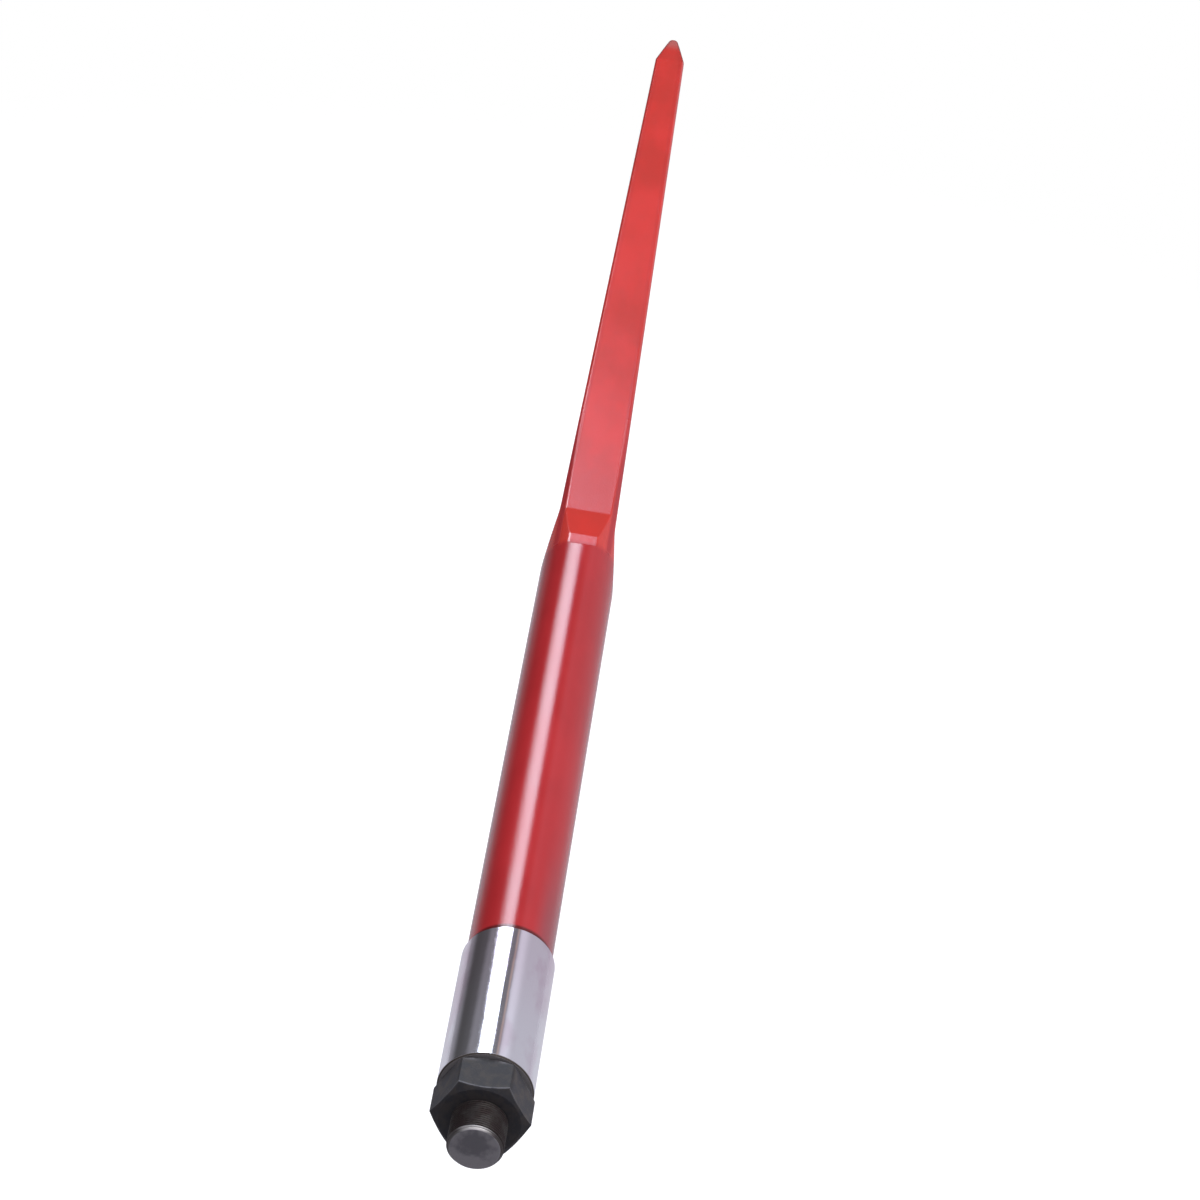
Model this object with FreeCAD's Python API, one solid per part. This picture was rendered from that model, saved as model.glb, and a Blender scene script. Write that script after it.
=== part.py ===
import FreeCAD, Part
import math
import os

# Bale spear for a front loader or bale handler, with the steel sleeve that is welded into the
# machine's frame and the nut that draws the spear's cone into it.  Millimetres.
# +X runs along the spear towards its point, +Z is square to one pair of the blade's flats, and
# the origin is on the spear's axis, half way along the sleeve.

# Sleeve
SLEEVE_LENGTH = 100.0
SLEEVE_DIAMETER = 48.0
SLEEVE_CHAMFER = 0.8

# Cone seat, shared by the spear's root and the sleeve's bore
SEAT_MOUTH_DIAMETER = 43.0      # of the bore, where it opens at the sleeve's front face
SEAT_HALF_ANGLE = 4.0           # degrees
SEAT_CLEARANCE = 0.05           # radial gap between cone and bore
SEAT_DRAW = 8.0                 # the cone stops this far short of the sleeve's back face

# Threaded stud and nut, M28 x 1.5
THREAD_DIAMETER = 28.0
THREAD_PITCH = 1.5
STUD_STANDOUT = 20.0            # length of stud beyond the nut
STUD_FACE_DIAMETER = 24.4       # flat end of the stud, inside its chamfer
NUT_ACROSS_FLATS = 43.0
NUT_HEIGHT = 22.5
NUT_FACE_DIAMETER = 40.4        # round flat left on each face by the chamfer
NUT_CHAMFER_ANGLE = 30.0        # degrees, from the nut's face
NUT_COUNTERSINK = 0.7           # depth of the lead at each end of the thread
NUT_TURN = -1.6                 # degrees, how far the tightened nut stands off the blade's flats

# Round shank
SHANK_DIAMETER = 44.0
SHANK_STANDOFF = 0.6            # gap between the sleeve's mouth and the shank's shoulder
SHANK_LENGTH = 366.3            # sleeve's mouth to the first flat

# Forged change from round to square
LAND_DEPTH = 1.7                # how far the die's first flat is pressed into the round bar
LAND_LEAD_ANGLE = 28.0          # degrees, steep lead of that flat
LAND_END = 13.0                 # end of the flat, from its start
RAMP_LENGTH = 31.0              # slope from the land down to the blade's long flat
RAMP_BLEND = 20.0               # radius where the slope meets the long flat
SIDE_RAMP_LENGTH = 50.0         # the slopes on the blade's two sides, which have no land
SIDE_RAMP_BLEND = 160.0         # radius where they run out into the long side flats
LEFT_RAMP_LEAD = 2.8            # the left side's slope starts before the first flat
RIGHT_RAMP_LEAD = 18.8          # the right side's slope starts further before it

# Tapered square blade and its point
BLADE_ROOT_THICKNESS = 34.4     # across flats where the ramp ends
BLADE_POINT_THICKNESS = 21.0    # across flats where the point starts
BLADE_REACH = 1104.0            # sleeve's mouth to the end of the point
CORNER_BREAK = 0.9              # rounding of the square's corners, measured on the diagonal
POINT_LENGTH = 50.0
POINT_SHOULDER = 30.0           # radius where the flats turn in to the point
TIP_THICKNESS = 7.0             # blunt end, across flats
TIP_ROUND = 2.4

# Values that follow from those above
MOUTH_X = SLEEVE_LENGTH / 2
BACK_X = -SLEEVE_LENGTH / 2
SHANK_RADIUS = SHANK_DIAMETER / 2
THREAD_DEPTH_OUTSIDE = 0.6134 * THREAD_PITCH    # ISO metric thread, crest to root on the stud
THREAD_DEPTH_INSIDE = 0.5413 * THREAD_PITCH     # ISO metric thread, in the nut
STUD_ROOT_RADIUS = THREAD_DIAMETER / 2 - THREAD_DEPTH_OUTSIDE
NUT_BORE_RADIUS = THREAD_DIAMETER / 2 - THREAD_DEPTH_INSIDE
SEAT_SLOPE = math.tan(math.radians(SEAT_HALF_ANGLE))
NUT_BACK_X = BACK_X - NUT_HEIGHT
STUD_END_X = NUT_BACK_X - STUD_STANDOUT
LAND_X = MOUTH_X + SHANK_LENGTH
RAMP_X = LAND_X + LAND_END
BLADE_X = RAMP_X + RAMP_LENGTH
TIP_X = MOUTH_X + BLADE_REACH
POINT_X = TIP_X - POINT_LENGTH
BLANK_MARGIN = 2.0              # the pressing profiles start this far outside the round bar

SPEAR_AXIS = FreeCAD.Vector(1, 0, 0)
ORIGIN = FreeCAD.Vector(0, 0, 0)


def seat_radius(x):
    """Radius of the sleeve's conical bore at x."""
    return SEAT_MOUTH_DIAMETER / 2 - (MOUTH_X - x) * SEAT_SLOPE


def blade_half(x):
    """Half the blade's thickness across its flats at x, along the straight taper."""
    share = (x - BLADE_X) / (POINT_X - BLADE_X)
    return (BLADE_ROOT_THICKNESS + share * (BLADE_POINT_THICKNESS - BLADE_ROOT_THICKNESS)) / 2


def rounded_wire(corners):
    """Closed wire in the XY plane; each corner is (x, y, radius of its rounding)."""
    points = [FreeCAD.Vector(x, y, 0) for x, y, radius in corners]
    joins = []
    for index, here in enumerate(points):
        radius = corners[index][2]
        towards_last = (points[index - 1] - here).normalize()
        towards_next = (points[(index + 1) % len(points)] - here).normalize()
        if radius == 0:
            joins.append((here, None, here))
            continue
        half_angle = towards_last.getAngle(towards_next) / 2
        reach = radius / math.tan(half_angle)
        inwards = (towards_last + towards_next).normalize()
        crown = here + inwards * (radius / math.sin(half_angle) - radius)
        joins.append((here + towards_last * reach, crown, here + towards_next * reach))
    edges = []
    for index, (entry, crown, leave) in enumerate(joins):
        if crown:
            edges.append(Part.Arc(entry, crown, leave).toShape())
        edges.append(Part.LineSegment(leave, joins[(index + 1) % len(joins)][0]).toShape())
    return Part.Wire(edges)


def turned(corners):
    """Solid of revolution about the spear's axis from (x, radius, rounding) corners."""
    return Part.Face(rounded_wire(corners)).revolve(ORIGIN, SPEAR_AXIS, 360)


def spear_blank():
    """Everything on the spear that is round: stud, cone, shank, the blade's corners and the tip."""
    cone_end_x = BACK_X + SEAT_DRAW
    cone_end = seat_radius(cone_end_x) - SEAT_CLEARANCE
    cone_mouth = seat_radius(MOUTH_X) - SEAT_CLEARANCE
    shoulder_x = MOUTH_X + SHANK_STANDOFF
    stud_chamfer = STUD_ROOT_RADIUS - STUD_FACE_DIAMETER / 2
    point_corner = blade_half(POINT_X) * math.sqrt(2) - CORNER_BREAK
    # The corners leave the round bar where the square's diagonal has shrunk to its diameter.
    corner_half = (SHANK_RADIUS + CORNER_BREAK) / math.sqrt(2)
    taper = (blade_half(BLADE_X) - blade_half(POINT_X)) / (POINT_X - BLADE_X)
    corner_x = BLADE_X + (blade_half(BLADE_X) - corner_half) / taper
    return turned([
        (STUD_END_X, 0, 0),
        (STUD_END_X, STUD_FACE_DIAMETER / 2, 0),
        (STUD_END_X + stud_chamfer, STUD_ROOT_RADIUS, 0),
        (cone_end_x - (cone_end - STUD_ROOT_RADIUS), STUD_ROOT_RADIUS, 0),
        (cone_end_x, cone_end, 0),
        (MOUTH_X, cone_mouth, 0),
        (shoulder_x, cone_mouth, 0),
        (shoulder_x + SHANK_RADIUS - cone_mouth, SHANK_RADIUS, 0),
        (corner_x, SHANK_RADIUS, 0),
        (POINT_X, point_corner, POINT_SHOULDER),
        (TIP_X, TIP_THICKNESS / 2, TIP_ROUND),
        (TIP_X, 0, 0),
    ])


def pressed_side(start_x, end_x, blend, first_flat=()):
    """Corners of one side of the blade, from the round bar to the tip, as (x, height, rounding)."""
    outside = SHANK_RADIUS + BLANK_MARGIN
    first = first_flat[0] if first_flat else (end_x, blade_half(end_x), blend)
    lead = (first[0] - start_x) / (SHANK_RADIUS - first[1])
    return [
        (start_x - lead * BLANK_MARGIN, outside, 0),
        *first_flat,
        (end_x, blade_half(end_x), blend),
        (POINT_X, blade_half(POINT_X), POINT_SHOULDER),
        (TIP_X, TIP_THICKNESS / 2, TIP_ROUND),
    ]


def pressed_slab(upper, lower):
    """Slab through the whole spear whose edges are the two pressed sides, in the XY plane."""
    outside = SHANK_RADIUS + BLANK_MARGIN
    start_x = STUD_END_X - BLANK_MARGIN
    mirrored = [(x, -height, rounding) for x, height, rounding in reversed(lower)]
    corners = [(start_x, outside, 0), *upper, *mirrored, (start_x, -outside, 0)]
    face = Part.Face(rounded_wire(corners))
    face.translate(FreeCAD.Vector(0, 0, -outside))
    return face.extrude(FreeCAD.Vector(0, 0, 2 * outside))


def spear():
    """One forging: the round blank, pressed square by two pairs of dies."""
    land_height = SHANK_RADIUS - LAND_DEPTH
    land_lead = LAND_DEPTH / math.tan(math.radians(LAND_LEAD_ANGLE))
    land = ((LAND_X + land_lead, land_height, 0), (RAMP_X, land_height, 0))
    top = pressed_side(LAND_X, BLADE_X, RAMP_BLEND, land)
    thickness = pressed_slab(top, top)
    thickness.rotate(ORIGIN, SPEAR_AXIS, 90)
    left_x = LAND_X - LEFT_RAMP_LEAD
    right_x = LAND_X - RIGHT_RAMP_LEAD
    left = pressed_side(left_x, left_x + SIDE_RAMP_LENGTH, SIDE_RAMP_BLEND)
    right = pressed_side(right_x, right_x + SIDE_RAMP_LENGTH, SIDE_RAMP_BLEND)
    width = pressed_slab(left, right)
    return spear_blank().common(thickness).common(width)


def sleeve():
    """Turned bush with a conical bore right through it."""
    outer = SLEEVE_DIAMETER / 2
    return turned([
        (BACK_X, seat_radius(BACK_X), 0),
        (BACK_X, outer - SLEEVE_CHAMFER, 0),
        (BACK_X + SLEEVE_CHAMFER, outer, 0),
        (MOUTH_X - SLEEVE_CHAMFER, outer, 0),
        (MOUTH_X, outer - SLEEVE_CHAMFER, 0),
        (MOUTH_X, seat_radius(MOUTH_X), 0),
    ])


def hex_nut():
    """Hexagon nut, chamfered on both faces, tight against the sleeve's back face."""
    corner = NUT_ACROSS_FLATS / math.sqrt(3)
    chamfer = (corner - NUT_FACE_DIAMETER / 2) * math.tan(math.radians(NUT_CHAMFER_ANGLE))
    hexagon = []
    for index in range(7):
        angle = math.radians(NUT_TURN + 60 * index)
        # Angle zero points along Y, so at no turn a flat faces up.
        hexagon.append(FreeCAD.Vector(NUT_BACK_X, corner * math.cos(angle), corner * math.sin(angle)))
    prism = Part.Face(Part.makePolygon(hexagon)).extrude(FreeCAD.Vector(NUT_HEIGHT, 0, 0))
    mouth = NUT_BORE_RADIUS + NUT_COUNTERSINK
    washer_faced = turned([
        (NUT_BACK_X, mouth, 0),
        (NUT_BACK_X, NUT_FACE_DIAMETER / 2, 0),
        (NUT_BACK_X + chamfer, corner, 0),
        (BACK_X - chamfer, corner, 0),
        (BACK_X, NUT_FACE_DIAMETER / 2, 0),
        (BACK_X, mouth, 0),
        (BACK_X - NUT_COUNTERSINK, NUT_BORE_RADIUS, 0),
        (NUT_BACK_X + NUT_COUNTERSINK, NUT_BORE_RADIUS, 0),
    ])
    return prism.common(washer_faced)


os.makedirs("parts", exist_ok=True)
for node, shape in (("spear", spear()), ("sleeve", sleeve()), ("hex_nut", hex_nut())):
    solid = shape.Solids[0]
    print(node, "valid", solid.isValid(), "solids", len(shape.Solids), "volume", round(solid.Volume))
    solid.exportStep("parts/" + node + ".step")
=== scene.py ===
import math

import bmesh
import bpy
from mathutils import Matrix, Vector


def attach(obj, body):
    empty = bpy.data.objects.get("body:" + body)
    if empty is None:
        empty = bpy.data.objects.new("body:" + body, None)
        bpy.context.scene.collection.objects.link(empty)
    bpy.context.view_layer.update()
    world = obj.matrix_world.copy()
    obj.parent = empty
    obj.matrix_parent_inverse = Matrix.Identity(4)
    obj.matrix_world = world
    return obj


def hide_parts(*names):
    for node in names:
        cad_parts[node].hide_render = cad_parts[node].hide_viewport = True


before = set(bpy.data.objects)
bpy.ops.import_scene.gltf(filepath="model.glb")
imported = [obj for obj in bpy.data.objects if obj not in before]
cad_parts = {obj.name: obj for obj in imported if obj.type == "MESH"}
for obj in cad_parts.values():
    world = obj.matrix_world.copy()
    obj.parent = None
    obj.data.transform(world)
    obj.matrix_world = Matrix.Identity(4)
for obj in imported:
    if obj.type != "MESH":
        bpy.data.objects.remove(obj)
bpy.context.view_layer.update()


# ---- Spear: the painted bar --------------------------------------------------------------------
# A 44 mm round bar of spring steel, forged down to a tapered square blade with a blunt point and
# dipped in red enamel. Two pairs of dies press the flats, so the blade's four corners are what is
# left of the round bar. The paint stops where the bar enters the sleeve.

MM = 0.001
SHOULDER_X = 50.6               # millimetres along the spear, from half way along the sleeve
SHOULDER_RADIUS = 21.45
BAR_RADIUS = 22.0
TOP_START = 416.3               # where each side's flat leaves the round bar
LEFT_START = 413.5
RIGHT_START = 397.5
LAND_RADIUS = 20.3              # height of the first flat that the dies press
LAND_LEAD_END = 419.497
LAND_END = 429.3
ROOT_X = 460.3
ROOT_HALF = 17.2                # half the blade's thickness at its root and where the point begins
POINT_X = 1104.0
POINT_HALF = 10.5
CORNER_BREAK = 0.9
TIP_X = 1154.0
TIP_HALF = 3.5
POINT_BLEND = 30.0
TIP_BLEND = 2.4
SIDE_RUN = 50.0                 # length of the slopes on the two sides, and their long run-out
SIDE_BLEND = 160.0
RAMP_BLEND = 20.0
EDGE_BAND = 0.80                # the shading turns an edge within this distance of it
FLAT_STEPS = 5                  # across each flat, and round each corner of the blade
CORNER_STEPS = 20
RAMPS_DONE_X = 480              # the sections lie closer together up to here,
POINT_MARGIN = 12               # and again from this far before the point begins
TIP_MARGIN = 3
SHANK_RED = (0.49, 0.021, 0.025, 1.0)
LIT_FLAT_RED = (0.73, 0.041, 0.031, 1.0)
LIT_FLAT_BROWNED = (0.62, 0.047, 0.036, 1.0)
TIP_GREY_PINK = (0.50, 0.18, 0.165, 1.0)
DARK_PURPLE_GREY = (0.26, 0.075, 0.090, 1.0)
# Each span, in millimetres, runs from where a finish begins to change to where the change is over.
FORGED_SPAN = (TOP_START, 424.0)
FLAT_EDGE_SPAN = (1.2, 4.5)           # from a corner's middle line out to the flats
CORNER_FADE_SPAN = (500.0, 660.0)     # along the blade, where its corners take the flats' enamel
TIP_GREY_SPAN = (1124.0, 1146.0)
DARKENED_SPAN = (60.0, 150.0)
DARKENED_SIDE_SPAN = (-8.0, -17.0)
MOUTH_SHADE_SPAN = (53.0, 55.6)
KNOCKED_SPAN = (500.0, 700.0)         # along the blade, where its knocked corners end
KNOCKED_EDGE_SPAN = (2.8, 4.2)
KNOCKED_ROUGHNESS = 0.40
FLAT_GLOSS = 0.06                     # the flats are smoother than the bar by this much


def blade_half(x):
    """Half the blade's thickness at x, along its straight taper."""
    return ROOT_HALF + (x - ROOT_X) / (POINT_X - ROOT_X) * (POINT_HALF - ROOT_HALF)


def rounded_line(corners, steps=16):
    """Points along a bent line whose corners are (x, height, radius of rounding)."""
    points = []
    for index, (x, height, radius) in enumerate(corners):
        here = Vector((x, height))
        if radius == 0:
            points.append((x, height))
            continue
        back = (Vector(corners[index - 1][:2]) - here).normalized()
        ahead = (Vector(corners[index + 1][:2]) - here).normalized()
        half = back.angle(ahead) / 2
        middle = here + (back + ahead).normalized() * (radius / math.sin(half))
        start = here + back * (radius / math.tan(half)) - middle
        turn = start.angle_signed(here + ahead * (radius / math.tan(half)) - middle)
        for step in range(steps + 1):
            arm = start.copy()
            arm.rotate(Matrix.Rotation(-turn * step / steps, 2))
            points.append(tuple(middle + arm))
    return points


def height_at(line, x):
    """Height of a line of points at x."""
    for (x0, h0), (x1, h1) in zip(line, line[1:]):
        if x0 <= x <= x1 and x1 > x0:
            return h0 + (h1 - h0) * (x - x0) / (x1 - x0)
    return line[0][1] if x < line[0][0] else line[-1][1]


def pressed_line(start, first_flat, end, blend):
    """One side of the blade from the round bar to the tip."""
    return rounded_line([
        (start, BAR_RADIUS, 0), *first_flat, (end, blade_half(end), blend),
        (POINT_X, blade_half(POINT_X), POINT_BLEND), (TIP_X, TIP_HALF, TIP_BLEND), (TIP_X, 0, 0)])


corner_half = (BAR_RADIUS + CORNER_BREAK) / math.sqrt(2)
corner_start = ROOT_X + (ROOT_HALF - corner_half) / (ROOT_HALF - POINT_HALF) * (POINT_X - ROOT_X)
round_line = rounded_line([
    (SHOULDER_X, SHOULDER_RADIUS, 0), (SHOULDER_X + BAR_RADIUS - SHOULDER_RADIUS, BAR_RADIUS, 0),
    (corner_start, BAR_RADIUS, 0),
    (POINT_X, POINT_HALF * math.sqrt(2) - CORNER_BREAK, POINT_BLEND),
    (TIP_X, TIP_HALF, TIP_BLEND), (TIP_X, 0, 0)])
top_line = pressed_line(
    TOP_START, [(LAND_LEAD_END, LAND_RADIUS, 0), (LAND_END, LAND_RADIUS, 0)], ROOT_X, RAMP_BLEND)
left_line = pressed_line(LEFT_START, [], LEFT_START + SIDE_RUN, SIDE_BLEND)
right_line = pressed_line(RIGHT_START, [], RIGHT_START + SIDE_RUN, SIDE_BLEND)


def spaced(start, end, count):
    """Numbers from start to end, evenly spaced."""
    return [start + (end - start) * step / count for step in range(count + 1)]


def bar_ring(x, scale=1.0):
    """Section of the bar at x: four flats, and between them what is left of the round bar."""
    radius = height_at(round_line, x)
    halves = [min(height_at(line, x), radius) for line in (top_line, left_line, top_line, right_line)]
    ring = []
    for side, half in enumerate(halves):
        width = math.sqrt(max(radius ** 2 - half ** 2, 0))
        edge = min(EDGE_BAND, width / 3)
        turned = math.pi / 2 * side
        for across in [-width, *spaced(edge - width, width - edge, FLAT_STEPS), width]:
            ring.append((x, (half * math.sin(turned) + across * math.cos(turned)) * scale,
                         (half * math.cos(turned) - across * math.sin(turned)) * scale))
        start = turned + math.acos(half / radius)
        end = turned + math.pi / 2 - math.acos(halves[(side + 1) % 4] / radius)
        edge = min(EDGE_BAND / radius, (end - start) / 4)
        for angle in spaced(start + edge, end - edge, CORNER_STEPS):
            ring.append((x, radius * math.sin(angle) * scale, radius * math.cos(angle) * scale))
    return ring


def ringed_mesh(name, rings):
    """Closed mesh through rings of points in millimetres, with a point at the middle of each end."""
    count = len(rings[0])
    points = [Vector(point) * MM for ring in rings for point in ring]
    for ring in (rings[0], rings[-1]):
        points.append(Vector((ring[0][0], 0, 0)) * MM)
    faces = []
    for row in range(len(rings) - 1):
        for column in range(count):
            following = (column + 1) % count
            faces.append((row * count + column, row * count + following,
                          (row + 1) * count + following, (row + 1) * count + column))
    last = (len(rings) - 1) * count
    for column in range(count):
        following = (column + 1) % count
        faces.append((len(points) - 2, following, column))
        faces.append((len(points) - 1, last + column, last + following))
    mesh = bpy.data.meshes.new(name)
    mesh.from_pydata(points, [], faces)
    work = bmesh.new()
    work.from_mesh(mesh)
    bmesh.ops.remove_doubles(work, verts=work.verts, dist=1e-7)
    bmesh.ops.dissolve_degenerate(work, edges=work.edges, dist=1e-8)
    bmesh.ops.recalc_face_normals(work, faces=work.faces)
    for face in work.faces:
        face.smooth = True
    work.to_mesh(mesh)
    work.free()
    piece = bpy.data.objects.new(name, mesh)
    bpy.context.scene.collection.objects.link(piece)
    return piece


stations = {SHOULDER_X, SHOULDER_X + 0.2, SHOULDER_X + BAR_RADIUS - SHOULDER_RADIUS, SHOULDER_X + 1}
stations.update(spaced(SHOULDER_X + 6, RIGHT_START - 4, 18))
for start in (RIGHT_START, TOP_START, LEFT_START):
    stations.update(start + 6 * (step / 20) ** 2 for step in range(21))
for bend in (LAND_LEAD_END, LAND_END):
    stations.update((bend - EDGE_BAND, bend, bend + EDGE_BAND))
stations.update(spaced(RIGHT_START, RAMPS_DONE_X, 100))
stations.update(spaced(RAMPS_DONE_X, POINT_X - POINT_MARGIN, 50))
stations.update(spaced(POINT_X - POINT_MARGIN, TIP_X - TIP_MARGIN, 60))
stations.update(x for x, height in round_line if x > TIP_X - TIP_MARGIN)
rings = [bar_ring(x) for x in sorted(round(x, 4) for x in stations)]
rings.append(bar_ring(TIP_X, 0.5))
rings.insert(0, bar_ring(SHOULDER_X, 0.98))
bar = ringed_mesh("spear_bar", rings)


def add_node(tree, kind, values=None, **settings):
    """Adds a node, with its settings and its unlinked inputs' values."""
    node = tree.nodes.new(kind)
    for key, value in settings.items():
        setattr(node, key, value)
    for key, value in (values or {}).items():
        node.inputs[key].default_value = value
    return node


def shader_group(name, inputs, outputs):
    """Empty node group with named inputs (name, socket type, value) and outputs (name, type)."""
    group = bpy.data.node_groups.new(name, "ShaderNodeTree")
    for label, kind, value in inputs:
        socket = group.interface.new_socket(label, in_out="INPUT", socket_type=kind)
        socket.default_value = value
    for label, kind in outputs:
        group.interface.new_socket(label, in_out="OUTPUT", socket_type=kind)
    return group


FLOAT = "NodeSocketFloat"
# Mottling and fine grain of a worked surface: soft patches, and a grain drawn out along the spear.
grain_group = shader_group(
    "worked_surface",
    [("Patch size", FLOAT, 0.03), ("Grain size", FLOAT, 0.0006), ("Drawn out", FLOAT, 3.0)],
    [("Patches", FLOAT), ("Grain", FLOAT)])
socket_in = add_node(grain_group, "NodeGroupInput")
socket_out = add_node(grain_group, "NodeGroupOutput")
place = add_node(grain_group, "ShaderNodeTexCoord")
squeeze = add_node(grain_group, "ShaderNodeMath", {0: 1.0}, operation="DIVIDE")
stretch = add_node(grain_group, "ShaderNodeCombineXYZ", {1: 1.0, 2: 1.0})
drawn = add_node(grain_group, "ShaderNodeVectorMath", operation="MULTIPLY")
patch_scale = add_node(grain_group, "ShaderNodeMath", {0: 1.0}, operation="DIVIDE")
grain_scale = add_node(grain_group, "ShaderNodeMath", {0: 1.0}, operation="DIVIDE")
patches = add_node(grain_group, "ShaderNodeTexNoise", {"Detail": 3.0, "Roughness": 0.55})
grain = add_node(grain_group, "ShaderNodeTexNoise", {"Detail": 4.0, "Roughness": 0.6})
link = grain_group.links.new
link(socket_in.outputs["Drawn out"], squeeze.inputs[1])
link(squeeze.outputs[0], stretch.inputs[0])
link(place.outputs["Object"], drawn.inputs[0])
link(stretch.outputs[0], drawn.inputs[1])
link(socket_in.outputs["Patch size"], patch_scale.inputs[1])
link(socket_in.outputs["Grain size"], grain_scale.inputs[1])
for noise, scale in ((patches, patch_scale), (grain, grain_scale)):
    link(drawn.outputs[0], noise.inputs["Vector"])
    link(scale.outputs[0], noise.inputs["Scale"])
link(patches.outputs[0], socket_out.inputs["Patches"])
link(grain.outputs[0], socket_out.inputs["Grain"])


def new_material(name, **constants):
    """Material with one Principled shader; returns it, its tree and the shader."""
    material = bpy.data.materials.new(name)
    material.use_nodes = True
    tree = material.node_tree
    shader = tree.nodes["Principled BSDF"]
    for key, value in constants.items():
        shader.inputs[key.replace("_", " ")].default_value = value
    return material, tree, shader


def placed_group(tree, group, values):
    """Adds a node group with its own input values."""
    node = add_node(tree, "ShaderNodeGroup", node_tree=group)
    for key, value in values.items():
        node.inputs[key].default_value = value
    return node


def ranged(tree, source, low, high, to_low, to_high):
    """Maps a value smoothly from one range to another."""
    node = add_node(tree, "ShaderNodeMapRange", {1: low, 2: high, 3: to_low, 4: to_high},
                    interpolation_type="SMOOTHSTEP")
    tree.links.new(source, node.inputs[0])
    return node.outputs[0]


def blended(tree, factor, first, second):
    """Colour mixed from two colours or sockets by a factor."""
    node = add_node(tree, "ShaderNodeMix", data_type="RGBA")
    tree.links.new(factor, node.inputs[0])
    for index, colour in ((6, first), (7, second)):
        if isinstance(colour, tuple):
            node.inputs[index].default_value = colour
        else:
            tree.links.new(colour, node.inputs[index])
    return node.outputs[2]


def bumped(tree, height, distance, strength=1.0):
    """Normal bent by a height."""
    node = add_node(tree, "ShaderNodeBump", {"Strength": strength, "Distance": distance})
    tree.links.new(height, node.inputs["Height"])
    return node.outputs[0]


def shaded(colour, level):
    """Colour made darker or lighter."""
    return tuple(part * level for part in colour[:3]) + (1.0,)


def positions(tree):
    """The three parts of the position on the spear, in metres."""
    split = add_node(tree, "ShaderNodeSeparateXYZ")
    tree.links.new(add_node(tree, "ShaderNodeTexCoord").outputs["Object"], split.inputs[0])
    return split.outputs


def summed(tree, operation, first, second=0.0):
    """One sum in a material, from sockets or numbers."""
    node = add_node(tree, "ShaderNodeMath", operation=operation)
    for index, value in enumerate((first, second)):
        if isinstance(value, (int, float)):
            node.inputs[index].default_value = value
        else:
            tree.links.new(value, node.inputs[index])
    return node.outputs[0]


def span_mask(tree, place, span, before=0, after=1):
    """Smooth mask over a span in millimetres, with its values before and after the span."""
    return ranged(tree, place, span[0] * MM, span[1] * MM, before, after)


paint, tree, shader = new_material("red_enamel", IOR=1.42)
surface = placed_group(tree, grain_group, {"Patch size": 0.030, "Grain size": 0.0011, "Drawn out": 2.2})
patchy = ranged(tree, surface.outputs["Patches"], 0.3, 0.7, 0, 1)
along, across, height = positions(tree)
# The flats' enamel is painted lighter than that of the round bar and the four corners: painted light, for
# the brighter light the flats catch.
from_corner = summed(tree, "ABSOLUTE", summed(
    tree, "SUBTRACT", summed(tree, "ABSOLUTE", across), summed(tree, "ABSOLUTE", height)))
beside_corner = summed(tree, "MAXIMUM", span_mask(tree, from_corner, FLAT_EDGE_SPAN),
                       span_mask(tree, along, CORNER_FADE_SPAN, 0, 0.85))
forged = span_mask(tree, along, FORGED_SPAN)
on_flat = summed(tree, "MULTIPLY", forged, beside_corner)
round_enamel = blended(tree, patchy, shaded(SHANK_RED, 0.92), shaded(SHANK_RED, 1.06))
lit_flat_enamel = blended(tree, patchy, LIT_FLAT_BROWNED, shaded(LIT_FLAT_RED, 1.03))
enamel = blended(tree, on_flat, round_enamel, lit_flat_enamel)
# The enamel at the point turns grey-pink in grainy patches.
greyed_tip = summed(tree, "MULTIPLY", span_mask(tree, along, TIP_GREY_SPAN, 0, 0.8),
                 ranged(tree, surface.outputs["Grain"], 0.25, 0.60, 0.6, 1))
enamel = blended(tree, greyed_tip, enamel, TIP_GREY_PINK)
# Next to the sleeve, the right side turns darker and purple-grey in patches.
darkened_side = summed(tree, "MULTIPLY", span_mask(tree, along, DARKENED_SPAN, 1, 0),
                span_mask(tree, across, DARKENED_SIDE_SPAN, 0, 0.55))
darkened_side = summed(tree, "MULTIPLY", darkened_side, ranged(tree, surface.outputs["Patches"], 0.2, 0.5, 0.3, 1))
enamel = blended(tree, darkened_side, enamel, DARK_PURPLE_GREY)
# Painted shade: just past the sleeve's mouth the enamel darkens to a near-black red, widening the gap's
# shadow line.
mouth_shade = span_mask(tree, along, MOUTH_SHADE_SPAN, 1, 0)
tree.links.new(blended(tree, mouth_shade, enamel, shaded(SHANK_RED, 0.22)), shader.inputs["Base Color"])
glossy = ranged(tree, surface.outputs["Patches"], 0.25, 0.75, 0.16, 0.21)
glossy = summed(tree, "SUBTRACT", glossy, summed(tree, "MULTIPLY", on_flat, FLAT_GLOSS))
# The corners next to the ramps are knocked dull.
near_root = summed(tree, "MULTIPLY", forged, span_mask(tree, along, KNOCKED_SPAN, 1, 0))
knocked = summed(tree, "MULTIPLY", near_root,
                 span_mask(tree, from_corner, KNOCKED_EDGE_SPAN, KNOCKED_ROUGHNESS, 0))
tree.links.new(summed(tree, "MAXIMUM", glossy, knocked), shader.inputs["Roughness"])
tree.links.new(bumped(tree, surface.outputs["Grain"], 0.00004), shader.inputs["Normal"])
bar.data.materials.append(paint)
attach(bar, "root")
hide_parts("spear")


# ---- Spear: the bare root ----------------------------------------------------------------------
# The same forging, turned: a 4 degree cone that wedges in the sleeve, and behind it the M28 x 1.5
# stud that the nut pulls on. It is bare, oiled steel, browned by handling.

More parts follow.
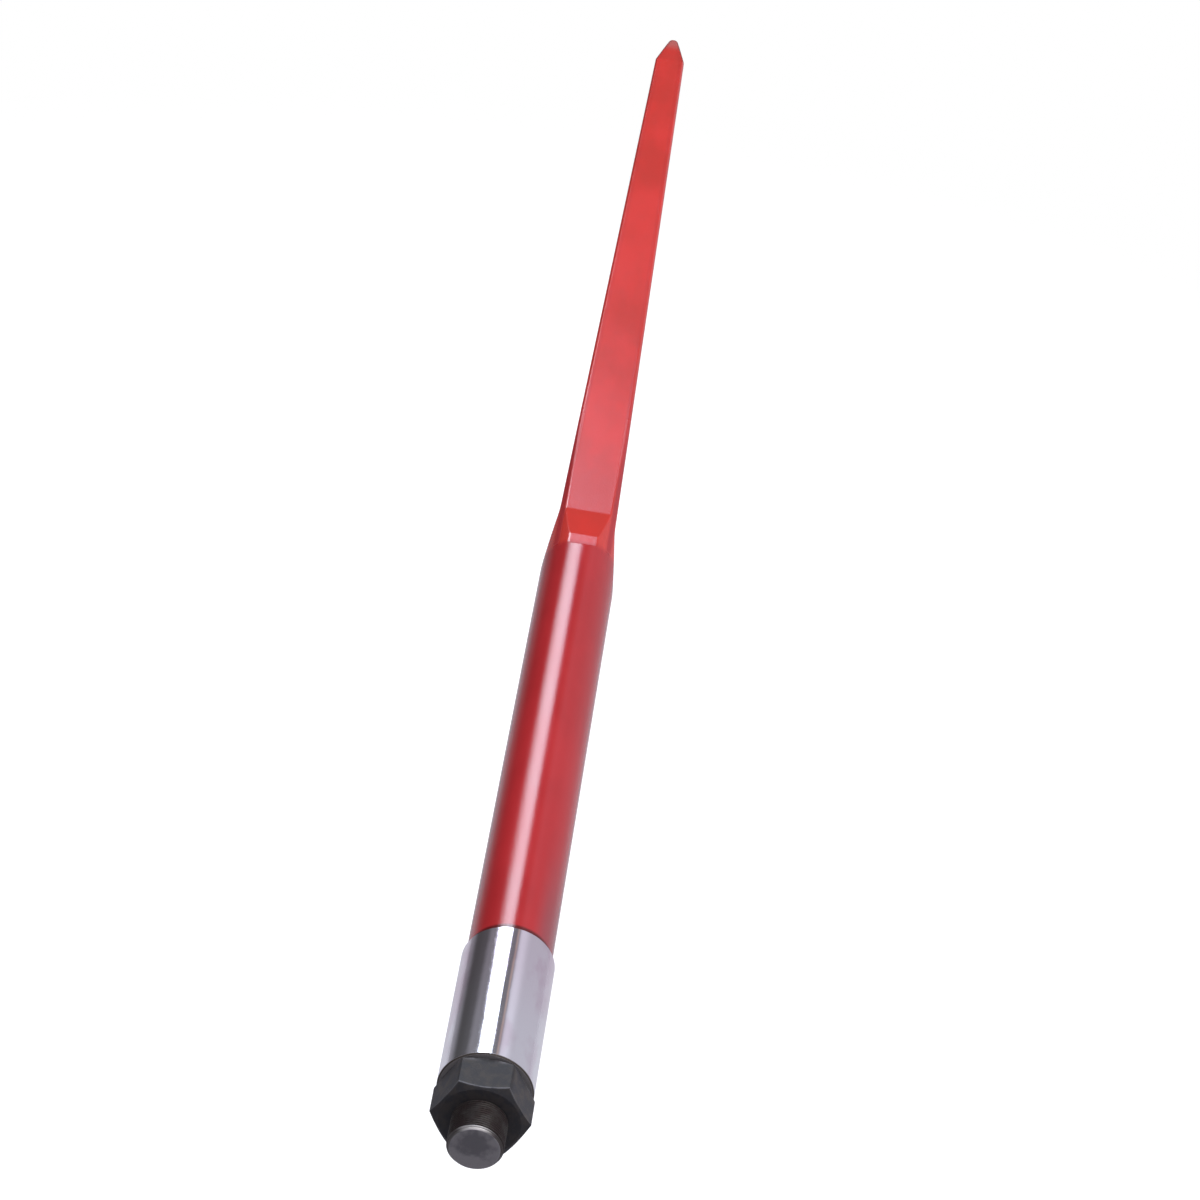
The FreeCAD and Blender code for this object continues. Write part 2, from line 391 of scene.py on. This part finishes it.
MOUTH_X = 50.0
CONE_END_X = -42.0
CONE_END_RADIUS = 15.017
STUD_RADIUS = 13.08
STUD_END_X = -92.5
STUD_FACE_RADIUS = 12.2
SEGMENTS = 128
STUD_BROWN = (0.062, 0.047, 0.046, 1.0)
STUD_GREY = (0.098, 0.090, 0.084, 1.0)
FACE_DARK = (0.23, 0.22, 0.24, 1.0)
FACE_PALE = (0.40, 0.38, 0.40, 1.0)
RIM_HIGHLIGHT = (0.75, 0.73, 0.72, 1.0)
FACE_SPAN = (-92.5, -92.2)
RIM_SPAN = (-91.2, -90.4)             # along the end's chamfer, then up it and across it
RIM_HEIGHT_SPAN = (8.5, 12.5)
RIM_SIDE_SPAN = (-8.0, 0.0)
DARK_SPOT_MIDDLE = (STUD_END_X, 1.5, 4.0)
DARK_SPOT_SPAN = (4.5, 12.5)
DARK_SPOT_RAGGED = 22.0


def turned_ring(x, radius):
    """Circle of points round the spear's axis."""
    angles = spaced(0, 2 * math.pi, SEGMENTS)[:-1]
    return [(x, radius * math.sin(angle), radius * math.cos(angle)) for angle in angles]


stud_chamfer = STUD_RADIUS - STUD_FACE_RADIUS
root_profile = [
    (STUD_END_X, STUD_FACE_RADIUS * 0.5), (STUD_END_X, STUD_FACE_RADIUS - 0.3),
    (STUD_END_X, STUD_FACE_RADIUS), (STUD_END_X + 0.25, STUD_FACE_RADIUS + 0.25),
    (STUD_END_X + stud_chamfer - 0.25, STUD_RADIUS - 0.25), (STUD_END_X + stud_chamfer, STUD_RADIUS),
    (STUD_END_X + stud_chamfer + 0.3, STUD_RADIUS),
    (CONE_END_X - (CONE_END_RADIUS - STUD_RADIUS), STUD_RADIUS), (CONE_END_X, CONE_END_RADIUS),
    (MOUTH_X, SHOULDER_RADIUS), (SHOULDER_X, SHOULDER_RADIUS)]
root = ringed_mesh("spear_root", [turned_ring(x, radius) for x, radius in root_profile])

stud_steel, tree, shader = new_material("oiled_steel", Metallic=0.75, Roughness=0.42)
surface = placed_group(tree, grain_group, {"Patch size": 0.006, "Grain size": 0.0005, "Drawn out": 1.0})
along, across, height = positions(tree)
stained = blended(tree, ranged(tree, surface.outputs["Patches"], 0.35, 0.7, 0, 1), STUD_BROWN, STUD_GREY)
# Its end face is darker round a spot above the middle and paler further out. The chamfer's edge is bright
# steel, partly rubbed and partly a painted highlight kept to the top and the left.
dark_spot = add_node(tree, "ShaderNodeVectorMath", {1: Vector(DARK_SPOT_MIDDLE) * MM}, operation="DISTANCE")
tree.links.new(add_node(tree, "ShaderNodeTexCoord").outputs["Object"], dark_spot.inputs[0])
uneven = summed(tree, "SUBTRACT", surface.outputs["Patches"], 0.5)
spread = summed(tree, "ADD", dark_spot.outputs["Value"], summed(tree, "MULTIPLY", uneven, DARK_SPOT_RAGGED * MM))
face_tone = blended(tree, span_mask(tree, spread, DARK_SPOT_SPAN), FACE_DARK, FACE_PALE)
# Painted highlight: bright steel on the chamfer's edge, strongest at the top and on the left.
rim_highlight = summed(tree, "MULTIPLY", span_mask(tree, along, RIM_SPAN, 1, 0),
             span_mask(tree, height, RIM_HEIGHT_SPAN, 0.18, 1))
rim_highlight = summed(tree, "MULTIPLY", rim_highlight, span_mask(tree, across, RIM_SIDE_SPAN, 0.25, 1))
rubbed_and_highlighted = blended(tree, rim_highlight, stained, RIM_HIGHLIGHT)
end_face = span_mask(tree, along, FACE_SPAN, 1, 0)
tree.links.new(blended(tree, end_face, rubbed_and_highlighted, face_tone), shader.inputs["Base Color"])
tree.links.new(ranged(tree, surface.outputs["Grain"], 0.3, 0.7, 0.34, 0.52), shader.inputs["Roughness"])
tree.links.new(bumped(tree, surface.outputs["Grain"], 0.00012), shader.inputs["Normal"])
root.data.materials.append(stud_steel)
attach(root, "root")
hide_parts("spear")


# ---- Stud thread -------------------------------------------------------------------------------
# Rolled M28 x 1.5 thread on the stud. It runs from inside the nut to the chamfered end, where the
# chamfer takes its crests down.

THREAD_PITCH = 1.5
THREAD_CREST_RADIUS = 14.0
THREAD_START_X = -70.0
THREAD_END_X = -91.7
THREAD_STEPS = 72               # along one turn
THREAD_SUNK = 1.2               # depth of the swept ridge, as a share of the thread's depth
THREAD_FOOT = 0.95              # widths of the ridge's foot and crest, as shares of the pitch
THREAD_CREST = 0.14


def geometry_group(name, inputs):
    """Geometry node tree with named inputs (name, socket type, value)."""
    group = bpy.data.node_groups.new(name, "GeometryNodeTree")
    group.interface.new_socket("Geometry", in_out="OUTPUT", socket_type="NodeSocketGeometry")
    for label, kind, value in inputs:
        socket = group.interface.new_socket(label, in_out="INPUT", socket_type=kind)
        if value is not None:
            socket.default_value = value
    return group


def nodes_made(name, group, values):
    """Plain mesh object from a geometry node tree, its inputs set by their identifiers."""
    carrier = bpy.data.objects.new(name + "_maker", bpy.data.meshes.new(name + "_maker"))
    bpy.context.scene.collection.objects.link(carrier)
    modifier = carrier.modifiers.new("nodes", "NODES")
    modifier.node_group = group
    for item in group.interface.items_tree:
        if item.item_type == "SOCKET" and item.in_out == "INPUT" and item.name in values:
            modifier[item.identifier] = values[item.name]
    evaluated = carrier.evaluated_get(bpy.context.evaluated_depsgraph_get())
    mesh = bpy.data.meshes.new_from_object(evaluated)
    mesh.name = name
    carrier.modifiers.clear()
    bpy.data.objects.remove(carrier)
    piece = bpy.data.objects.new(name, mesh)
    bpy.context.scene.collection.objects.link(piece)
    return piece


thread_tree = geometry_group("screw_thread", [
    ("Root radius", FLOAT, 0.013), ("Crest radius", FLOAT, 0.014), ("Pitch", FLOAT, 0.0015),
    ("Length", FLOAT, 0.02), ("End X", FLOAT, 0.0), ("End face X", FLOAT, 0.0),
    ("End face radius", FLOAT, 0.012), ("Steps per turn", "NodeSocketInt", 72),
    ("Material", "NodeSocketMaterial", None)])


sizes = add_node(thread_tree, "NodeGroupInput").outputs
result = add_node(thread_tree, "NodeGroupOutput")
link = thread_tree.links.new
turns = summed(thread_tree, "DIVIDE", sizes["Length"], sizes["Pitch"])
depth = summed(thread_tree, "SUBTRACT", sizes["Crest radius"], sizes["Root radius"])
sunk = summed(thread_tree, "MULTIPLY", depth, THREAD_SUNK)
spiral = add_node(thread_tree, "GeometryNodeCurveSpiral")
half_sunk = summed(thread_tree, "MULTIPLY", sunk, 0.5)
middle_radius = summed(thread_tree, "SUBTRACT", sizes["Crest radius"], half_sunk)
link(sizes["Steps per turn"], spiral.inputs["Resolution"])
link(turns, spiral.inputs["Rotations"])
link(middle_radius, spiral.inputs["Start Radius"])
link(middle_radius, spiral.inputs["End Radius"])
link(sizes["Length"], spiral.inputs["Height"])
upright = add_node(thread_tree, "GeometryNodeSetCurveNormal", mode="Z_UP")
link(spiral.outputs[0], upright.inputs[0])
flank = add_node(thread_tree, "GeometryNodeCurvePrimitiveQuadrilateral", mode="TRAPEZOID")
link(summed(thread_tree, "MULTIPLY", sizes["Pitch"], THREAD_FOOT), flank.inputs["Bottom Width"])
link(summed(thread_tree, "MULTIPLY", sizes["Pitch"], THREAD_CREST), flank.inputs["Top Width"])
link(sunk, flank.inputs["Height"])
flank.inputs["Offset"].default_value = 0
turn_flank = add_node(thread_tree, "GeometryNodeTransform")
turn_flank.inputs["Rotation"].default_value = (0, 0, math.radians(90))
link(flank.outputs[0], turn_flank.inputs[0])
swept = add_node(thread_tree, "GeometryNodeCurveToMesh")
swept.inputs["Fill Caps"].default_value = True
link(upright.outputs[0], swept.inputs["Curve"])
link(turn_flank.outputs[0], swept.inputs["Profile Curve"])
lay = add_node(thread_tree, "GeometryNodeTransform")
lay.inputs["Rotation"].default_value = (0, math.radians(90), 0)
shift = add_node(thread_tree, "ShaderNodeCombineXYZ")
link(sizes["End X"], shift.inputs[0])
link(shift.outputs[0], lay.inputs["Translation"])
link(swept.outputs[0], lay.inputs[0])
# The chamfer's cone takes down every point that stands outside it.
spot = add_node(thread_tree, "GeometryNodeInputPosition")
parts = add_node(thread_tree, "ShaderNodeSeparateXYZ")
link(spot.outputs[0], parts.inputs[0])
flat = add_node(thread_tree, "ShaderNodeVectorMath", operation="MULTIPLY")
flat.inputs[1].default_value = (0, 1, 1)
link(spot.outputs[0], flat.inputs[0])
reach = add_node(thread_tree, "ShaderNodeVectorMath", operation="LENGTH")
link(flat.outputs[0], reach.inputs[0])
behind_face = summed(thread_tree, "SUBTRACT", parts.outputs[0], sizes["End face X"])
cone = summed(thread_tree, "ADD", sizes["End face radius"], behind_face)
ratio = summed(thread_tree, "DIVIDE", cone, reach.outputs["Value"])
ratio = summed(thread_tree, "MINIMUM", ratio, 1.0)
narrowed = add_node(thread_tree, "ShaderNodeVectorMath", operation="SCALE")
link(flat.outputs[0], narrowed.inputs[0])
link(ratio, narrowed.inputs["Scale"])
along = add_node(thread_tree, "ShaderNodeCombineXYZ")
link(parts.outputs[0], along.inputs[0])
there = add_node(thread_tree, "ShaderNodeVectorMath", operation="ADD")
link(narrowed.outputs[0], there.inputs[0])
link(along.outputs[0], there.inputs[1])
cut = add_node(thread_tree, "GeometryNodeSetPosition")
link(lay.outputs[0], cut.inputs[0])
link(there.outputs[0], cut.inputs["Position"])
realized = add_node(thread_tree, "GeometryNodeRealizeInstances")
coated = add_node(thread_tree, "GeometryNodeSetMaterial")
link(cut.outputs[0], realized.inputs[0])
link(realized.outputs[0], coated.inputs[0])
link(sizes["Material"], coated.inputs["Material"])
link(coated.outputs[0], result.inputs[0])

thread = nodes_made("stud_thread", thread_tree, {
    "Root radius": STUD_RADIUS * MM, "Crest radius": THREAD_CREST_RADIUS * MM,
    "Pitch": THREAD_PITCH * MM, "Length": (THREAD_START_X - THREAD_END_X) * MM,
    "End X": THREAD_END_X * MM, "End face X": STUD_END_X * MM,
    "End face radius": STUD_FACE_RADIUS * MM, "Steps per turn": THREAD_STEPS,
    "Material": stud_steel})
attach(thread, "root")


# ---- Sleeve ------------------------------------------------------------------------------------
# Weld-in bush, turned from steel tube and left bright, with a film of preserving oil. The spear's
# cone wedges in its bore. It is tinted pink-lavender in patches, and more so towards the mouth.

SLEEVE_STEEL = (0.86, 0.85, 0.89, 1.0)
PINK_LAVENDER = (0.72, 0.60, 0.68, 1.0)
SLEEVE_RIM = (0.10, 0.085, 0.075, 1.0)  # its back chamfer, dark brown, and the sawn face inside it
SLEEVE_END = (0.33, 0.31, 0.31, 1.0)
TINTED_SPAN = (-45.0, 45.0)
BACK_END_SPAN = (-49.4, -49.0)
SAWN_FACE_SPAN = (-49.99, -49.90)
BACK_END_ROUGHNESS = 0.6
TOOL_MARKS = 2600.0                     # marks of the lathe tool in a metre, one after the other
TOOL_MARK_DEPTH = 0.000008
WAVE_DEPTH = 0.00012

bright, tree, shader = new_material("turned_steel")
place = add_node(tree, "ShaderNodeTexCoord").outputs["Object"]
surface = placed_group(tree, grain_group, {"Patch size": 0.018, "Grain size": 0.0004, "Drawn out": 2.0})
rings_only = add_node(tree, "ShaderNodeVectorMath", operation="MULTIPLY")
rings_only.inputs[1].default_value = (1.0, 0.02, 0.02)
tree.links.new(place, rings_only.inputs[0])
tool_marks = add_node(tree, "ShaderNodeTexNoise", {"Scale": TOOL_MARKS, "Detail": 3.0})
tree.links.new(rings_only.outputs[0], tool_marks.inputs["Vector"])
along, across, height = positions(tree)
tint_mask = summed(tree, "ADD", ranged(tree, surface.outputs["Patches"], 0.46, 0.66, 0, 0.5),
                span_mask(tree, along, TINTED_SPAN, 0, 0.55))
clean = blended(tree, tint_mask, SLEEVE_STEEL, PINK_LAVENDER)
back_end = span_mask(tree, along, BACK_END_SPAN, 1, 0)
ended = blended(tree, span_mask(tree, along, SAWN_FACE_SPAN, 1, 0), SLEEVE_RIM, SLEEVE_END)
tree.links.new(blended(tree, back_end, clean, ended), shader.inputs["Base Color"])
smooth = ranged(tree, surface.outputs["Patches"], 0.3, 0.7, 0.06, 0.10)
rough_end = summed(tree, "MULTIPLY", back_end, BACK_END_ROUGHNESS)
tree.links.new(summed(tree, "MAXIMUM", smooth, rough_end), shader.inputs["Roughness"])
tree.links.new(ranged(tree, back_end, 0, 1, 1, 0.5), shader.inputs["Metallic"])
waves = add_node(tree, "ShaderNodeBump", {"Strength": 1.0, "Distance": WAVE_DEPTH})
tree.links.new(surface.outputs["Patches"], waves.inputs["Height"])
marks = add_node(tree, "ShaderNodeBump", {"Strength": 1.0, "Distance": TOOL_MARK_DEPTH})
tree.links.new(tool_marks.outputs[0], marks.inputs["Height"])
tree.links.new(waves.outputs[0], marks.inputs["Normal"])
tree.links.new(marks.outputs[0], shader.inputs["Normal"])
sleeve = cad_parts["sleeve"]
sleeve.data.materials.clear()
sleeve.data.materials.append(bright)


# ---- Hexagon nut -------------------------------------------------------------------------------
# M28 x 1.5 nut, 43 mm across flats, forged and blacked, drawn up against the sleeve. Handling has
# rubbed its corners and chamfers grey, and that grey is lighter at the top as a painted highlight.
# Each face's black is painted lighter or darker as painted light and shade.

NUT_BLACK = (0.046, 0.045, 0.051, 1.0)
NUT_BROWN = (0.068, 0.060, 0.058, 1.0)
NUT_WEAR_AND_HIGHLIGHT = (0.125, 0.123, 0.134, 1.0)
NUT_PAINTED_LIGHT_LEVELS = (1.4, 0.75, 0.92)           # painted light and shade: levels of its sides, its upper flat and its front
NUT_FLAT_RADIUS = 20.2                  # where the chamfer starts on each face
NUT_CHAMFER_ANGLE = 30.0
NUT_TURN = -1.6
NUT_BACK_X = -72.5
ARRIS_SPAN = (0.2, 1.0)                 # from the chamfer's edge back over the flats
FLATS_SPAN = (21.0, 21.4)               # out from the axis to the flats
HIGHLIGHT_HEIGHT_SPAN = (11.0, 18.0)
REAR_RING_SPAN = (-54.0, -51.5)
CHAMFER_SPAN = (0.0, 0.4)
NUT_FACE_SPAN = (NUT_BACK_X, -72.2)
UPPER_FLAT_SPAN = (18.5, 21.2)

blacked, tree, shader = new_material("blacked_steel", Metallic=0.35)
surface = placed_group(tree, grain_group, {"Patch size": 0.005, "Grain size": 0.0006, "Drawn out": 1.0})
patchy = ranged(tree, surface.outputs["Patches"], 0.4, 0.65, 0, 1)
# Painted light and shade: the one black, lighter on the sides and darker on the upper flat and the front.
lit_sides, shaded_upper, shaded_front = (
    blended(tree, patchy, shaded(NUT_BLACK, level), shaded(NUT_BROWN, level)) for level in NUT_PAINTED_LIGHT_LEVELS)
along, across, height = positions(tree)
radius = summed(tree, "SQRT", summed(tree, "ADD", summed(tree, "MULTIPLY", across, across),
                                     summed(tree, "MULTIPLY", height, height)))
# The six flats are folded onto one, to find how far out from the axis a spot is at right angles to it.
folded = summed(tree, "SUBTRACT", summed(tree, "ARCTAN2", height, across), math.radians(NUT_TURN))
folded = summed(tree, "FLOORED_MODULO", folded, math.radians(60))
folded = summed(tree, "SUBTRACT", folded, math.radians(30))
apothem = summed(tree, "MULTIPLY", radius, summed(tree, "COSINE", folded))
past_flat_radius = summed(tree, "SUBTRACT", radius, NUT_FLAT_RADIUS * MM)
cone_height = summed(tree, "MULTIPLY", past_flat_radius, math.tan(math.radians(NUT_CHAMFER_ANGLE)))
from_cone = summed(tree, "SUBTRACT", summed(tree, "SUBTRACT", along, NUT_BACK_X * MM), cone_height)
# The arrises along the chamfer's edge are rubbed grey, and a painted highlight makes them lighter towards
# the top.
arris_wear_and_highlight = summed(tree, "MULTIPLY", span_mask(tree, from_cone, ARRIS_SPAN, 1, 0),
               span_mask(tree, apothem, FLATS_SPAN))
arris_wear_and_highlight = summed(tree, "MULTIPLY", arris_wear_and_highlight, ranged(tree, surface.outputs["Patches"], 0.35, 0.55, 0.3, 1))
arris_wear_and_highlight = summed(tree, "MULTIPLY", arris_wear_and_highlight, span_mask(tree, height, HIGHLIGHT_HEIGHT_SPAN, 0.10, 1))
scratched = ranged(tree, surface.outputs["Grain"], 0.62, 0.75, 0, 0.5)
rear_ring = summed(tree, "MULTIPLY", span_mask(tree, along, REAR_RING_SPAN, 0, 0.8), patchy)
wear_and_highlight = summed(tree, "MAXIMUM", summed(tree, "MAXIMUM", arris_wear_and_highlight, scratched), rear_ring)
front = summed(tree, "MAXIMUM", span_mask(tree, from_cone, CHAMFER_SPAN, 1, 0),
               span_mask(tree, along, NUT_FACE_SPAN, 1, 0))
black_with_painted_light = blended(tree, span_mask(tree, height, UPPER_FLAT_SPAN), lit_sides, shaded_upper)
black_with_painted_light = blended(tree, front, black_with_painted_light, shaded_front)
tree.links.new(blended(tree, wear_and_highlight, black_with_painted_light, NUT_WEAR_AND_HIGHLIGHT), shader.inputs["Base Color"])
tree.links.new(ranged(tree, wear_and_highlight, 0, 1, 0.62, 0.52), shader.inputs["Roughness"])
tree.links.new(bumped(tree, surface.outputs["Grain"], 0.00010), shader.inputs["Normal"])
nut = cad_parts["hex_nut"]
nut.data.materials.clear()
nut.data.materials.append(blacked)


# ---- Floor and studio --------------------------------------------------------------------------
# A pale round floor well below the spear, which hangs in the air as a loader holds it, and a soft
# studio round it: one bright panel ahead, a pale wall on the right, a darker room on the left.

FLOOR_Z = -0.30
FLOOR_MIDDLE_X = 0.53
FLOOR_REACH = 1.10
FLOOR_FADE = 0.35               # the floor is whole this far from its middle, and fades out from there
FLOOR_PALE = (0.42, 0.42, 0.46, 1.0)
FLOOR_GLOW = 0.80
FLOOR_IN_METAL = 0.25           # share of that glow which the metal mirrors

floor_mesh = bpy.data.meshes.new("floor")
floor_mesh.from_pydata(
    [(FLOOR_MIDDLE_X + FLOOR_REACH * math.cos(angle), FLOOR_REACH * math.sin(angle), FLOOR_Z)
     for angle in spaced(0, 2 * math.pi, 64)[:-1]], [], [tuple(range(64))])
floor = bpy.data.objects.new("floor", floor_mesh)
bpy.context.scene.collection.objects.link(floor)
floor_paper = bpy.data.materials.new("floor_paper")
floor_paper.use_nodes = True
tree = floor_paper.node_tree
tree.nodes.clear()
link = tree.links.new
rays = add_node(tree, "ShaderNodeLightPath")
in_metal = add_node(tree, "ShaderNodeMath", {1: FLOOR_IN_METAL}, operation="MULTIPLY")
seen = add_node(tree, "ShaderNodeMath", operation="MAXIMUM")
seen_through = add_node(tree, "ShaderNodeMath", operation="MAXIMUM")
level = add_node(tree, "ShaderNodeMath", {1: FLOOR_GLOW}, operation="MULTIPLY")
glow = add_node(tree, "ShaderNodeEmission")
matt = add_node(tree, "ShaderNodeBsdfDiffuse", {"Color": FLOOR_PALE})
both = add_node(tree, "ShaderNodeAddShader")
clear = add_node(tree, "ShaderNodeBsdfTransparent")
side = add_node(tree, "ShaderNodeNewGeometry")
from_middle = add_node(tree, "ShaderNodeVectorMath", {1: (FLOOR_MIDDLE_X, 0, FLOOR_Z)}, operation="DISTANCE")
gone = add_node(tree, "ShaderNodeMath", operation="MAXIMUM")
choose = add_node(tree, "ShaderNodeMixShader")
out = add_node(tree, "ShaderNodeOutputMaterial")
link(rays.outputs["Is Glossy Ray"], in_metal.inputs[0])
link(rays.outputs["Is Camera Ray"], seen.inputs[0])
link(in_metal.outputs[0], seen.inputs[1])
link(seen.outputs[0], seen_through.inputs[0])
link(rays.outputs["Is Transmission Ray"], seen_through.inputs[1])
link(seen_through.outputs[0], level.inputs[0])
link(level.outputs[0], glow.inputs["Strength"])
link(matt.outputs[0], both.inputs[0])
link(glow.outputs[0], both.inputs[1])
link(add_node(tree, "ShaderNodeTexCoord").outputs["Object"], from_middle.inputs[0])
link(ranged(tree, from_middle.outputs["Value"], FLOOR_FADE, FLOOR_REACH, 0, 1), gone.inputs[0])
link(side.outputs["Backfacing"], gone.inputs[1])
link(gone.outputs[0], choose.inputs[0])
link(both.outputs[0], choose.inputs[1])
link(clear.outputs[0], choose.inputs[2])
link(choose.outputs[0], out.inputs[0])
floor_mesh.materials.append(floor_paper)

# One soft panel as the spear sees it, in degrees: azimuth from the tip's direction towards the
# left, and elevation. Its sides lean left and its lower edge drops to the left by so much a degree.
panel_group = shader_group(
    "soft_panel",
    [("Azimuth", FLOAT, 0.0), ("Elevation", FLOAT, 0.0), ("Half width", FLOAT, 10.0),
     ("Half height", FLOAT, 10.0), ("Soft edge", FLOAT, 3.0), ("Drop", FLOAT, 0.0),
     ("Lean", FLOAT, 0.0), ("Colour", "NodeSocketColor", (1, 1, 1, 1)), ("Level", FLOAT, 1.0)],
    [("Light", "NodeSocketColor")])
socket_in = add_node(panel_group, "NodeGroupInput").outputs
socket_out = add_node(panel_group, "NodeGroupOutput")


def soft_step(distance):
    """Smooth mask from 0 outside the panel's edge to 1 inside it."""
    node = add_node(panel_group, "ShaderNodeMapRange", {1: -0.5, 2: 0.5, 3: 0.0, 4: 1.0},
                    interpolation_type="SMOOTHSTEP")
    steps = summed(panel_group, "DIVIDE", distance, socket_in["Soft edge"])
    panel_group.links.new(steps, node.inputs[0])
    return node.outputs[0]


ways = add_node(panel_group, "ShaderNodeSeparateXYZ")
panel_group.links.new(add_node(panel_group, "ShaderNodeTexCoord").outputs["Generated"], ways.inputs[0])
azimuth = summed(panel_group, "ARCTAN2", ways.outputs[1], ways.outputs[0])
azimuth = summed(panel_group, "DEGREES", azimuth)
elevation = summed(panel_group, "ARCSINE", ways.outputs[2])
elevation = summed(panel_group, "DEGREES", elevation)
aside = summed(panel_group, "SUBTRACT", azimuth, socket_in["Azimuth"])
aside = summed(panel_group, "FLOORED_MODULO", summed(panel_group, "ADD", aside, 180.0), 360.0)
aside = summed(panel_group, "SUBTRACT", aside, 180.0)
above = summed(panel_group, "SUBTRACT", elevation, socket_in["Elevation"])
leaned = summed(panel_group, "ADD", aside, summed(panel_group, "MULTIPLY", above, socket_in["Lean"]))
dropped = summed(panel_group, "ADD", above, summed(panel_group, "MULTIPLY", aside, socket_in["Drop"]))
from_side = summed(panel_group, "ABSOLUTE", leaned)
from_side = summed(panel_group, "SUBTRACT", socket_in["Half width"], from_side)
from_edge = summed(panel_group, "ABSOLUTE", dropped)
from_edge = summed(panel_group, "SUBTRACT", socket_in["Half height"], from_edge)
lit = summed(panel_group, "MULTIPLY", soft_step(from_side), soft_step(from_edge))
lit = summed(panel_group, "MULTIPLY", lit, socket_in["Level"])
tinted = add_node(panel_group, "ShaderNodeVectorMath", operation="SCALE")
panel_group.links.new(socket_in["Colour"], tinted.inputs[0])
panel_group.links.new(lit, tinted.inputs["Scale"])
panel_group.links.new(tinted.outputs[0], socket_out.inputs[0])

world = bpy.data.worlds.new("studio")
bpy.context.scene.world = world
world.use_nodes = True
tree = world.node_tree
tree.nodes.clear()
ROOM = (0.080, 0.079, 0.083)
KEY_COLOUR = (0.90, 0.99, 1.13, 1.0)
KEY_CORNER = (0.90, 1.07, 1.43, 1.0)
COOL = (0.98, 0.965, 1.10, 1.0)
WARM = (1.0, 0.62, 0.40, 1.0)
PANELS = [
    # azimuth, elevation, half width, half height, soft edge, drop, lean, colour, level
    (12.6, 37.5, 7.2, 9.5, 7.0, 0.30, 0.40, KEY_COLOUR, 6.0),       # key panel's bright middle
    (11.4, 37.5, 10.0, 10.2, 2.0, 0.30, 0.40, KEY_COLOUR, 4.2),     # the whole key panel
    (4.0, 33.0, 4.5, 2.5, 3.5, 0.0, 0.0, KEY_CORNER, 3.0),          # its faint lower corner
    (-34.0, 12.0, 20.0, 55.0, 6.0, 0.0, 0.0, COOL, 0.47),           # pale wall on the right
    (-102.0, 10.0, 50.0, 55.0, 12.0, 0.0, 0.0, COOL, 0.18),         # its far end
    (-23.0, 45.0, 8.0, 16.0, 14.0, 0.0, 0.0, COOL, 0.22),           # lamp beside the key panel
    (-7.0, 37.0, 5.5, 20.0, 3.0, 0.0, 0.0, COOL, 0.12),             # gap between the two
    (-11.0, 37.0, 1.8, 20.0, 2.0, 0.0, 0.0, WARM, 0.22),            # and its warm edge
    (34.0, 32.0, 14.0, 12.0, 10.0, 0.0, 0.0, COOL, 0.15),           # left of the room
    (36.0, -14.0, 16.0, 8.0, 14.0, 0.0, 0.0, COOL, 0.20),           # low on the left
    (100.0, 48.0, 60.0, 32.0, 24.0, 0.0, 0.0, COOL, 0.14),          # its upper part
    (180.0, 5.0, 60.0, 30.0, 30.0, 0.0, 0.0, COOL, 0.25),           # wall behind
    (174.0, 48.0, 8.0, 6.0, 6.0, 0.0, 0.0, COOL, 5.0),              # small lamp behind
]
PANEL_SOCKETS = ("Azimuth", "Elevation", "Half width", "Half height", "Soft edge", "Drop", "Lean",
                 "Colour", "Level")
LAMP_WAY = Vector((0.1, -0.30, 0.95)).normalized()
LAMP_LEVEL = 2.6
LAMP_EDGE = (0.80, 0.95)                # cosines of the angles from LAMP_WAY at its outer and inner edge
overhead = add_node(tree, "ShaderNodeVectorMath", {1: LAMP_WAY}, operation="DOT_PRODUCT")
tree.links.new(add_node(tree, "ShaderNodeTexCoord").outputs["Generated"], overhead.inputs[0])
lamp = add_node(tree, "ShaderNodeVectorMath", {0: (1.0, 1.0, 1.0)}, operation="SCALE")
tree.links.new(ranged(tree, overhead.outputs["Value"], *LAMP_EDGE, 0, LAMP_LEVEL), lamp.inputs["Scale"])
total = lamp.outputs[0]
room = add_node(tree, "ShaderNodeVectorMath", {1: ROOM}, operation="ADD")
tree.links.new(total, room.inputs[0])
total = room.outputs[0]
for row in PANELS:
    panel = placed_group(tree, panel_group, dict(zip(PANEL_SOCKETS, row)))
    add = add_node(tree, "ShaderNodeVectorMath", operation="ADD")
    tree.links.new(total, add.inputs[0])
    tree.links.new(panel.outputs[0], add.inputs[1])
    total = add.outputs[0]
studio = add_node(tree, "ShaderNodeBackground")
tree.links.new(total, studio.inputs["Color"])
white = add_node(tree, "ShaderNodeBackground", {"Color": (1, 1, 1, 1), "Strength": 1.0})
rays = add_node(tree, "ShaderNodeLightPath")
choose = add_node(tree, "ShaderNodeMixShader")
out = add_node(tree, "ShaderNodeOutputWorld")
tree.links.new(rays.outputs["Is Camera Ray"], choose.inputs[0])
tree.links.new(studio.outputs[0], choose.inputs[1])
tree.links.new(white.outputs[0], choose.inputs[2])
tree.links.new(choose.outputs[0], out.inputs[0])

# Camera above and behind the nut, looking along the spear, with a long lens.
CAMERA_LENS = 115.5
CAMERA_SENSOR = 36.0
CAMERA_PLACE = Vector((-1.476372, -0.024941, 1.235901))
CAMERA_RIGHT = Vector((0.09186492, -0.98707601, 0.13130797))
CAMERA_UP = Vector((0.54357862, 0.16019468, 0.82392957))
camera_data = bpy.data.cameras.new("camera")
camera_data.sensor_width = CAMERA_SENSOR
camera_data.lens = CAMERA_LENS
camera_data.clip_end = 50.0
camera = bpy.data.objects.new("camera", camera_data)
bpy.context.scene.collection.objects.link(camera)
turned = Matrix((CAMERA_RIGHT, CAMERA_UP, CAMERA_RIGHT.cross(CAMERA_UP))).transposed()
camera.matrix_world = Matrix.Translation(CAMERA_PLACE) @ turned.to_4x4()
bpy.context.scene.camera = camera
bpy.context.scene.view_settings.view_transform = "Standard"
